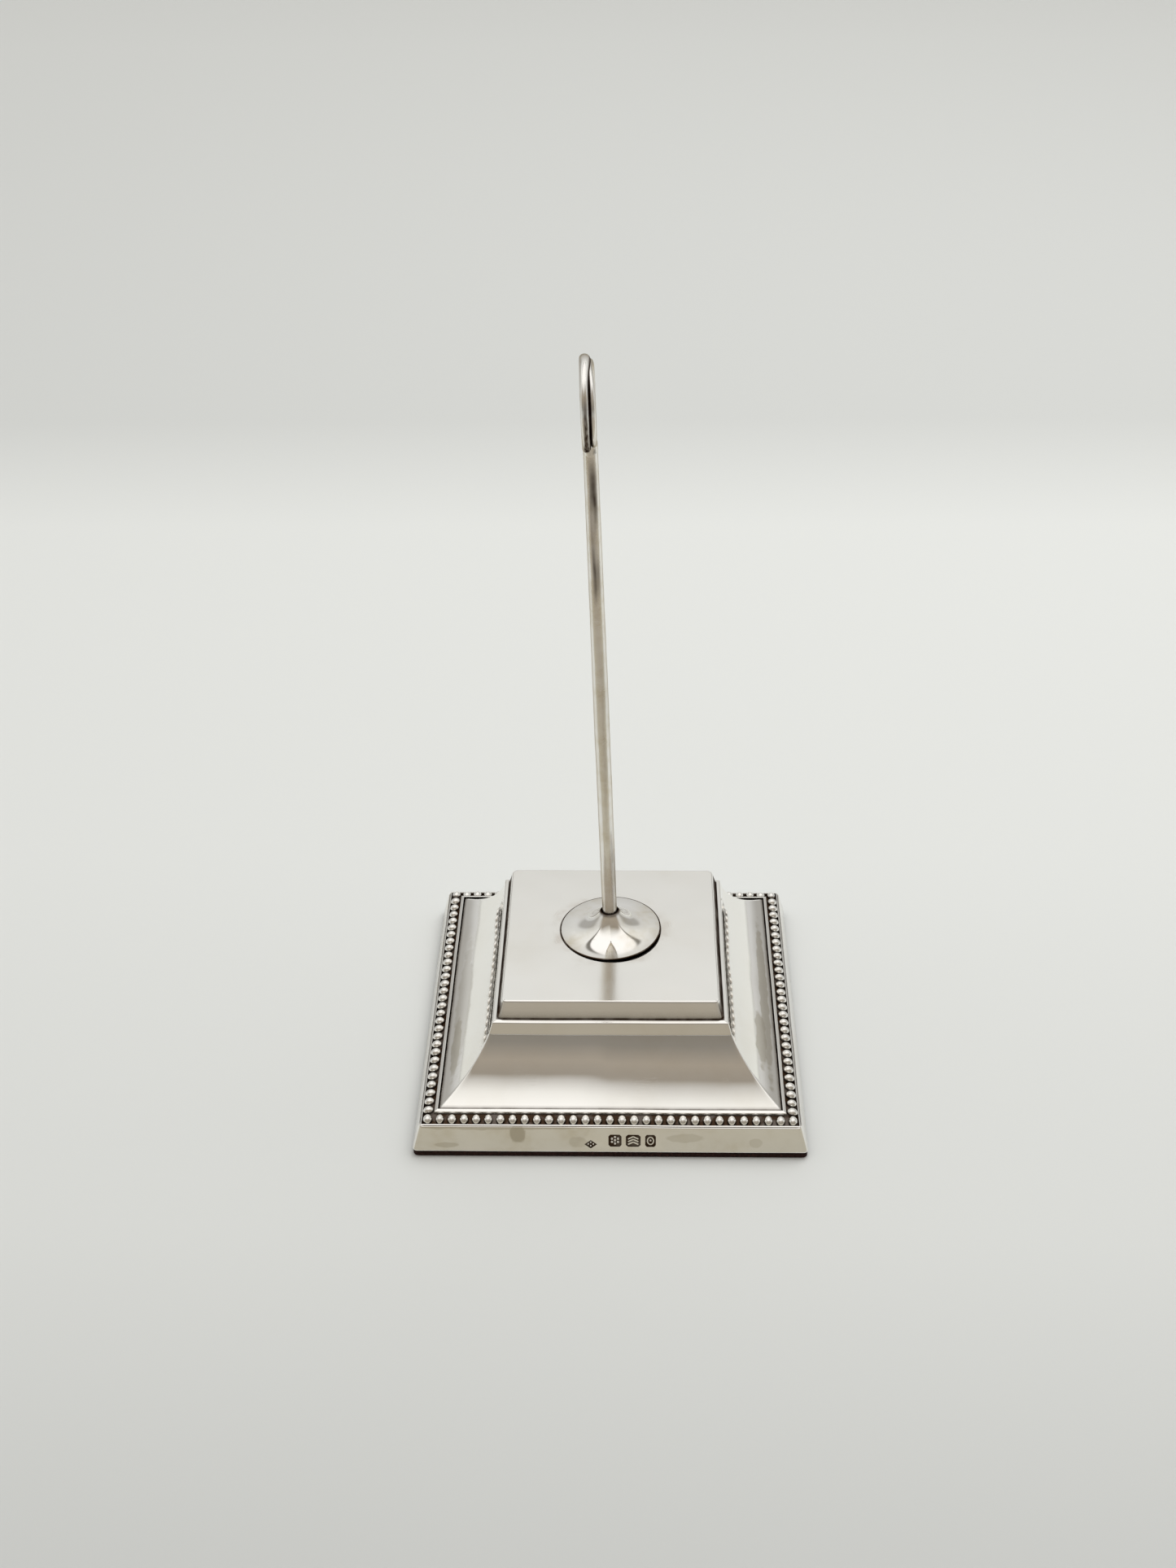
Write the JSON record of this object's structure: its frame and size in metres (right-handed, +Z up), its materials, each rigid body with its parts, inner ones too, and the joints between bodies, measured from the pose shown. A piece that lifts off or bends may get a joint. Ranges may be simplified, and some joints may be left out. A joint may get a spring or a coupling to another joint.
{
  "type": "table number holder",
  "caption": "Weighted square stepped silver base with a beaded border, a swivelling round stem on a flared flange and a two-turn wire ring clip that grips a place or number card.",
  "frame": {"origin": "centre of the square felt underside, on the table", "axes": "+Z up along the stem's rise, +X to the right and -Y towards the marked front band of the foot"},
  "size_m": [0.0658, 0.0658, 0.1256],
  "materials": {
    "polished_silver": "polished sterling silver with soft wear and light tarnish",
    "satin_silver": "finely brushed, worn sterling silver",
    "oxidised_silver": "sterling silver beads in a dark, tarnished channel",
    "brass_hardware": "plain turned brass",
    "loading_cement": "cast cement and pitch loading",
    "base_wood": "plain thin board",
    "maroon_felt": "dark maroon felt"
  },
  "bodies": {
    "base": {"felt_pad": "maroon_felt", "base_board": "base_wood", "weight_filling": "loading_cement", "foot_rim": "polished_silver", "bead_strip_front": "oxidised_silver", "bead_strip_right": "oxidised_silver", "bead_strip_back": "oxidised_silver", "bead_strip_left": "oxidised_silver", "cove_body": "polished_silver", "cap_plate": "satin_silver", "deck_washer": "brass_hardware", "thrust_washer": "brass_hardware"},
    "stem": {"flange": "polished_silver", "stem_rod": "polished_silver", "stem_nut": "brass_hardware", "clip_fixed_turn": "polished_silver"},
    "spring_turn": {"clip_spring_turn": "polished_silver"}
  },
  "joints": [
    {"name": "stem_swivel", "type": "hinge", "parent": "base", "child": "stem", "pos_m": [-0.00016, 0.001, 0.02124], "axis": [-0.0262, 0, 0.9997], "continuous": true},
    {"name": "clip_flex", "type": "hinge", "parent": "stem", "child": "spring_turn", "pos_m": [-0.00188, 0.00102, 0.1128], "axis": [-0.0279, 0.9996, -0.0007], "range_deg": [0, 6], "stiffness_Nm_per_rad": 0.05}
  ]
}
